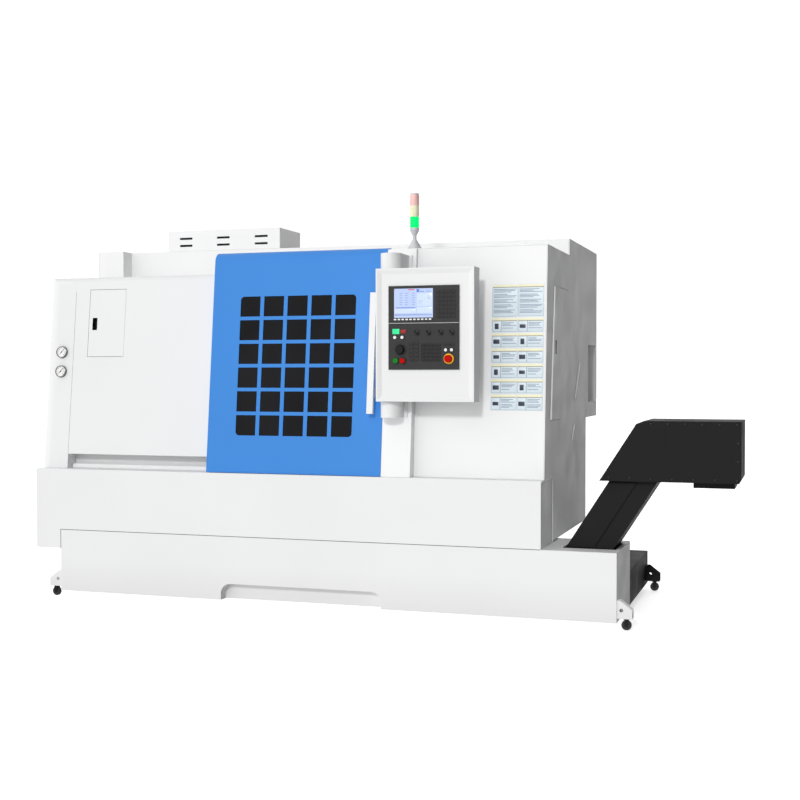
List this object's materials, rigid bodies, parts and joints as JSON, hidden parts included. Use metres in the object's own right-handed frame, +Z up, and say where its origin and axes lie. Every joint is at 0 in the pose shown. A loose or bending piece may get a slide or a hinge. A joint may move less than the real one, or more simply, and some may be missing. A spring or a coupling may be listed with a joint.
{
  "type": "cnc_turning_lathe",
  "caption": "Slant-bed turning lathe with a blue sliding door and gridded window, a swivelling control pendant, a signal tower and an inclined chip conveyor at its right end",
  "frame": {"origin": "on the floor under the middle of the outer box", "axes": "x along the machine to the conveyor end, y from the operator to the back, z up"},
  "size_m": [3.813, 1.796, 2.153],
  "materials": {
    "white_paint": "satin powder coat",
    "blue_paint": "gloss enamel",
    "black_paint": "matte powder coat",
    "bed_paint": "painted casting with machined faces",
    "ground_steel": "ground",
    "tool_steel": "turned",
    "chamber_steel": "cold rolled sheet",
    "motor_paint": "satin enamel",
    "belt_rubber": "ribbed rubber",
    "fork_steel": "black oxide",
    "wheel_rubber": "moulded",
    "plate_steel": "hinged plates",
    "window_glass": "dark laminated pane",
    "gauge_chrome": "bright bezel",
    "tower_plastic": "silver plastic",
    "lens_green": "ribbed lens",
    "lens_amber": "ribbed lens",
    "lens_red": "ribbed lens",
    "fascia_plastic": "textured membrane",
    "screen_glass": "flat panel",
    "red_plastic": "moulded",
    "green_plastic": "moulded",
    "knob_plastic": "moulded"
  },
  "bodies": {
    "machine": {"bed_casting": "bed_paint", "leveling_feet": "ground_steel", "way_rails": "ground_steel", "headstock": "bed_paint", "spindle_motor": "motor_paint", "drive_belt": "belt_rubber", "base_tank": "white_paint", "coolant_tank": "black_paint", "caster_forks": "fork_steel", "conveyor_trough": "black_paint", "conveyor_head": "black_paint", "conveyor_belt": "plate_steel", "bed_skirt": "white_paint", "left_end_cover": "white_paint", "left_front_panel": "white_paint", "door_post": "white_paint", "right_front_panel": "white_paint", "right_side_panel": "white_paint", "rear_panel": "white_paint", "rear_cabinet": "white_paint", "roof_panel": "white_paint", "vent_box": "white_paint", "door_rails": "ground_steel", "chamber_wall": "chamber_steel", "pendant_knuckles": "white_paint", "pressure_gauges": "gauge_chrome", "tower_mast": "tower_plastic", "tower_green": "lens_green", "tower_amber": "lens_amber", "tower_red": "lens_red"},
    "door": {"sliding_door": "blue_paint", "door_window": "window_glass", "door_handle": "white_paint"},
    "left_hatch": {"left_access_door": "white_paint"},
    "side_hatch": {"side_access_door": "white_paint"},
    "spindle_train": {"spindle": "tool_steel", "chuck_body": "tool_steel"},
    "jaw_a": {"chuck_jaw_1": "tool_steel"},
    "jaw_b": {"chuck_jaw_2": "tool_steel"},
    "jaw_c": {"chuck_jaw_3": "tool_steel"},
    "motor_wheel": {"motor_pulley": "ground_steel"},
    "carriage": {"saddle": "bed_paint"},
    "cross_carriage": {"cross_slide": "bed_paint"},
    "turret": {"turret_disc": "tool_steel"},
    "tail_carriage": {"tailstock": "bed_paint"},
    "tail_quill": {"quill": "ground_steel"},
    "long_screw": {"z_screw": "ground_steel"},
    "cross_screw": {"x_screw": "ground_steel"},
    "drive_shaft": {"conveyor_shaft": "ground_steel"},
    "wheel_a": {"caster_wheel_1": "wheel_rubber"},
    "wheel_b": {"caster_wheel_2": "wheel_rubber"},
    "wheel_c": {"caster_wheel_3": "wheel_rubber"},
    "wheel_d": {"caster_wheel_4": "wheel_rubber"},
    "pendant": {"pendant_box": "white_paint", "pendant_fascia": "fascia_plastic", "pendant_screen": "screen_glass"},
    "estop": {"estop_button": "red_plastic"},
    "knob": {"override_knob": "knob_plastic"},
    "start": {"start_button": "green_plastic"},
    "stop": {"stop_button": "red_plastic"}
  },
  "joints": [
    {"name": "door_slide", "type": "slide", "parent": "machine", "child": "door", "axis": [-1, 0, 0], "range_m": [0, 0.85]},
    {"name": "left_hatch_hinge", "type": "hinge", "parent": "machine", "child": "left_hatch", "pos_m": [-1.4065, -0.63203, 1.32258], "axis": [0, -0.1044, -0.9945], "range_deg": [-90, 0]},
    {"name": "side_hatch_hinge", "type": "hinge", "parent": "machine", "child": "side_hatch", "pos_m": [0.9675, -0.059, 1.204], "axis": [0, 0, 1], "range_deg": [0, 90]},
    {"name": "spindle_spin", "type": "hinge", "parent": "machine", "child": "spindle_train", "pos_m": [-1.5135, -0.356, 1.08], "axis": [1, 0, 0], "continuous": true},
    {"name": "jaw_a_grip", "type": "slide", "parent": "spindle_train", "child": "jaw_a", "axis": [0, 0, 1], "range_m": [-0.004, 0.004]},
    {"name": "jaw_b_grip", "type": "slide", "parent": "spindle_train", "child": "jaw_b", "axis": [0, -0.866, -0.5], "range_m": [-0.004, 0.004]},
    {"name": "jaw_c_grip", "type": "slide", "parent": "spindle_train", "child": "jaw_c", "axis": [0, 0.866, -0.5], "range_m": [-0.004, 0.004]},
    {"name": "motor_wheel_spin", "type": "hinge", "parent": "machine", "child": "motor_wheel", "pos_m": [-1.5135, 0.35666, 1.28808], "axis": [1, 0, 0], "continuous": true},
    {"name": "carriage_slide", "type": "slide", "parent": "machine", "child": "carriage", "axis": [1, 0, 0], "range_m": [-0.3, 0.3]},
    {"name": "cross_slide_feed", "type": "slide", "parent": "carriage", "child": "cross_carriage", "axis": [0, 0.7071, 0.7071], "range_m": [-0.12, 0.08]},
    {"name": "turret_index", "type": "hinge", "parent": "cross_carriage", "child": "turret", "pos_m": [-0.2335, -0.11205, 1.32395], "axis": [1, 0, 0], "continuous": true},
    {"name": "tail_slide", "type": "slide", "parent": "machine", "child": "tail_carriage", "axis": [1, 0, 0], "range_m": [-0.3, 0]},
    {"name": "quill_feed", "type": "slide", "parent": "tail_carriage", "child": "tail_quill", "axis": [-1, 0, 0], "range_m": [0, 0.1]},
    {"name": "long_screw_spin", "type": "hinge", "parent": "machine", "child": "long_screw", "pos_m": [-0.7615, -0.02578, 0.90676], "axis": [1, 0, 0], "continuous": true},
    {"name": "cross_screw_spin", "type": "hinge", "parent": "carriage", "child": "cross_screw", "pos_m": [-0.0235, -0.16296, 0.89545], "axis": [0, 0.7071, 0.7071], "continuous": true},
    {"name": "drive_shaft_spin", "type": "hinge", "parent": "machine", "child": "drive_shaft", "pos_m": [1.50293, -0.658, 0.868], "axis": [0, 1, 0], "continuous": true},
    {"name": "wheel_a_spin", "type": "hinge", "parent": "machine", "child": "wheel_a", "pos_m": [-1.7525, -0.756, 0.025], "axis": [0, 1, 0], "continuous": true},
    {"name": "wheel_b_spin", "type": "hinge", "parent": "machine", "child": "wheel_b", "pos_m": [1.3825, -0.756, 0.025], "axis": [0, 1, 0], "continuous": true},
    {"name": "wheel_c_spin", "type": "hinge", "parent": "machine", "child": "wheel_c", "pos_m": [-1.7525, -0.353, 0.025], "axis": [0, 1, 0], "continuous": true},
    {"name": "wheel_d_spin", "type": "hinge", "parent": "machine", "child": "wheel_d", "pos_m": [1.3825, 0.404, 0.025], "axis": [0, 1, 0], "continuous": true},
    {"name": "pendant_swivel", "type": "hinge", "parent": "machine", "child": "pendant", "pos_m": [0.2085, -0.786, 1.088], "axis": [0, 0, 1], "range_deg": [-45, 8]},
    {"name": "estop_push", "type": "slide", "parent": "pendant", "child": "estop", "axis": [0, 1, 0], "range_m": [0, 0.005], "stiffness_N_per_m": 1200},
    {"name": "knob_turn", "type": "hinge", "parent": "pendant", "child": "knob", "pos_m": [0.2845, -0.874, 1.345], "axis": [0, 1, 0], "range_deg": [-150, 150]},
    {"name": "start_push", "type": "slide", "parent": "pendant", "child": "start", "axis": [0, 1, 0], "range_m": [0, 0.0025], "stiffness_N_per_m": 900},
    {"name": "stop_push", "type": "slide", "parent": "pendant", "child": "stop", "axis": [0, 1, 0], "range_m": [0, 0.0025], "stiffness_N_per_m": 900}
  ],
  "couplings": [
    {"joint": "jaw_b_grip", "follows": "jaw_a_grip", "ratio": 1},
    {"joint": "jaw_c_grip", "follows": "jaw_a_grip", "ratio": 1},
    {"joint": "motor_wheel_spin", "follows": "spindle_spin", "ratio": 1.25},
    {"joint": "long_screw_spin", "follows": "carriage_slide", "rad_per_m": 314.16},
    {"joint": "cross_screw_spin", "follows": "cross_slide_feed", "rad_per_m": 628.32}
  ]
}
